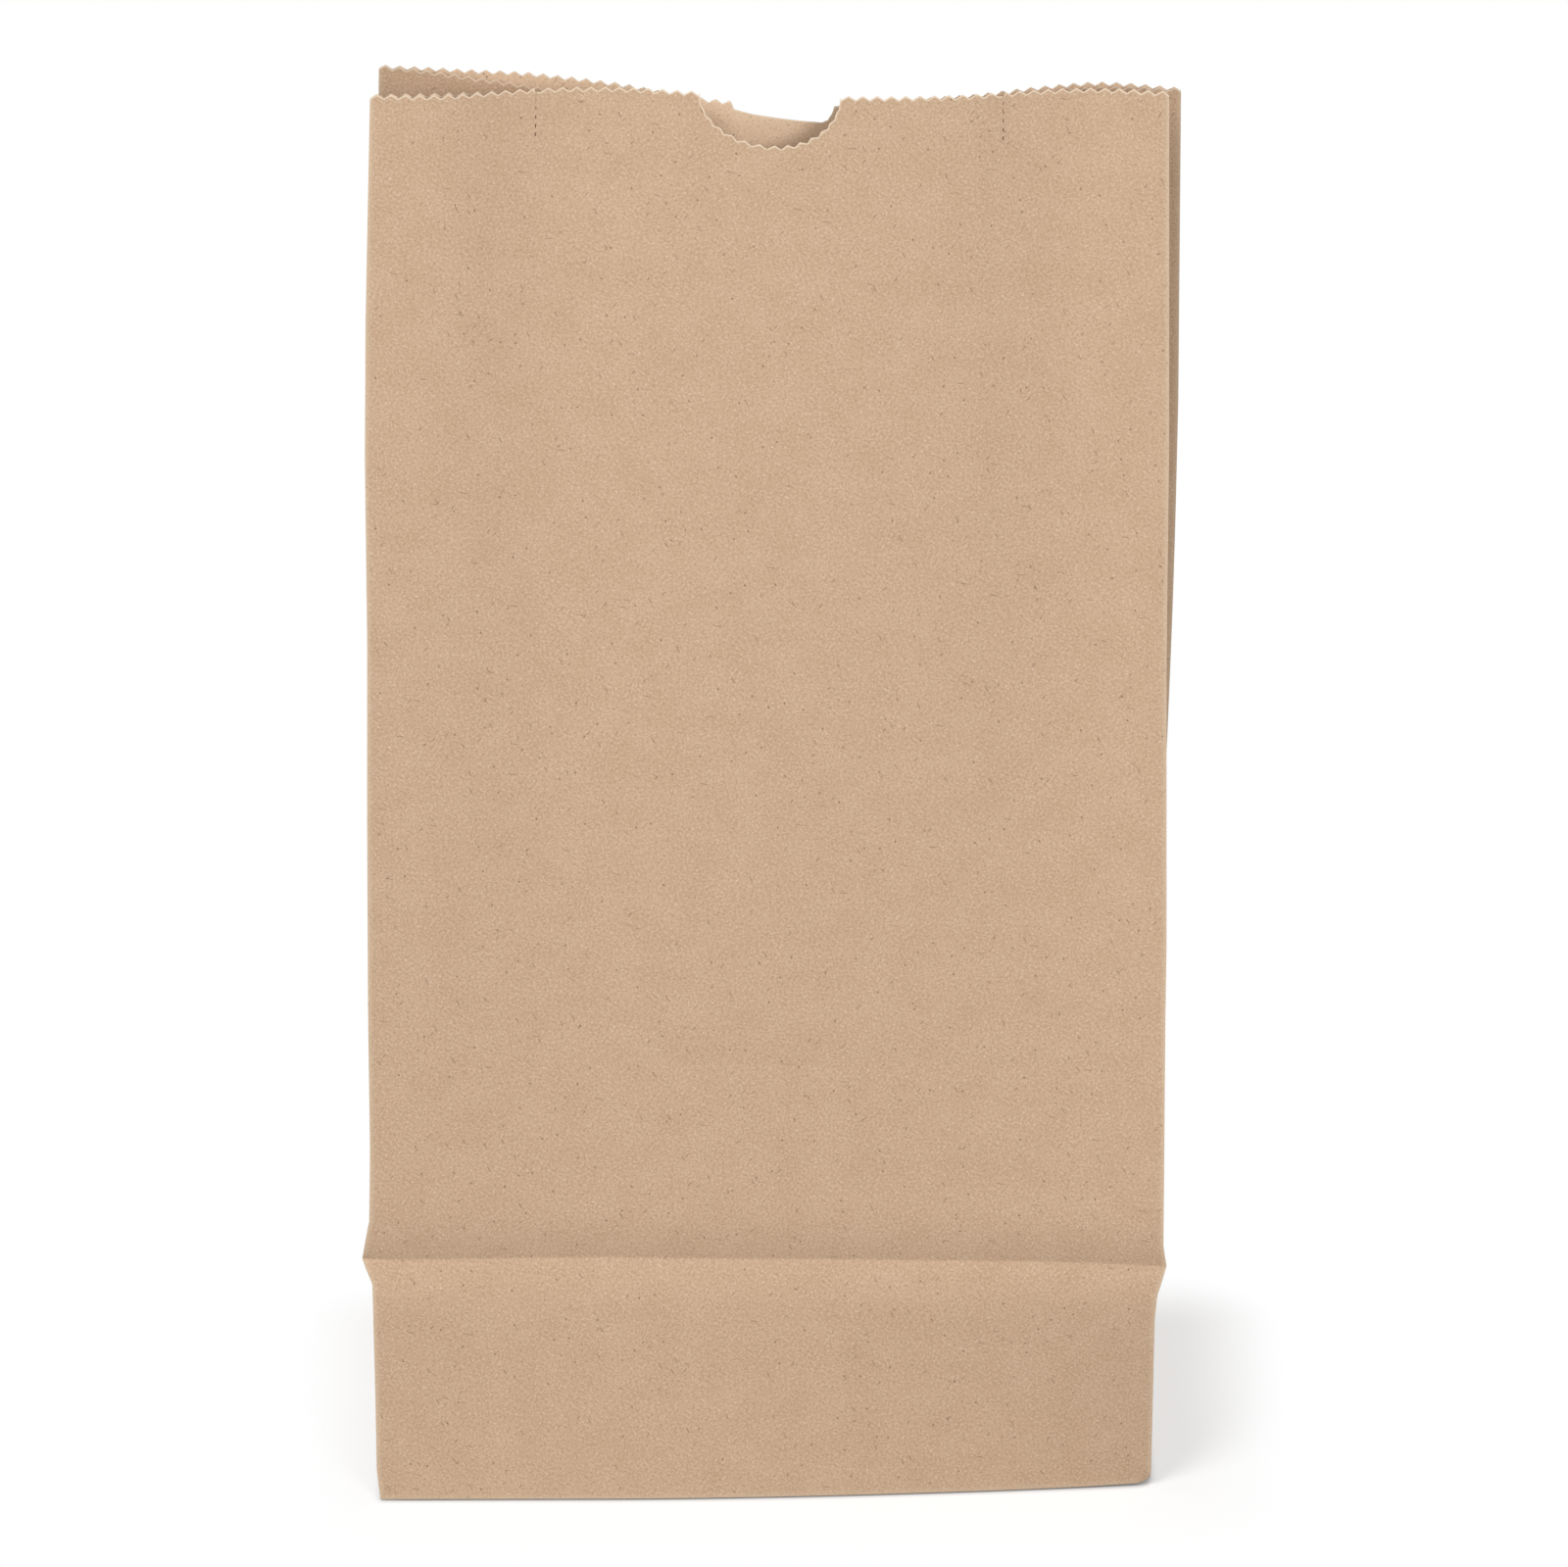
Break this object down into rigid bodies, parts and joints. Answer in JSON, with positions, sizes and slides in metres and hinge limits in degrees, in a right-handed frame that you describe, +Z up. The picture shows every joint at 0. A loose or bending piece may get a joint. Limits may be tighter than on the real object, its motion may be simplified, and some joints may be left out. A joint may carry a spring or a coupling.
{
  "type": "paper lunch bag",
  "caption": "Brown kraft paper lunch bag with a flat bottom, folded-in sides, a toothed top edge and a thumb notch, standing open.",
  "frame": {"origin": "on the surface that the bag stands on, under the middle of its flat bottom", "axes": "+Z up; -Y faces the viewer, out of the front wall with the deep thumb notch; +X to the viewer's right along the front wall"},
  "size_m": [0.1559, 0.0922, 0.2797],
  "materials": {
    "kraft_paper": "matte"
  },
  "bodies": {
    "root": {"paper_bag": "kraft_paper"}
  },
  "joints": []
}
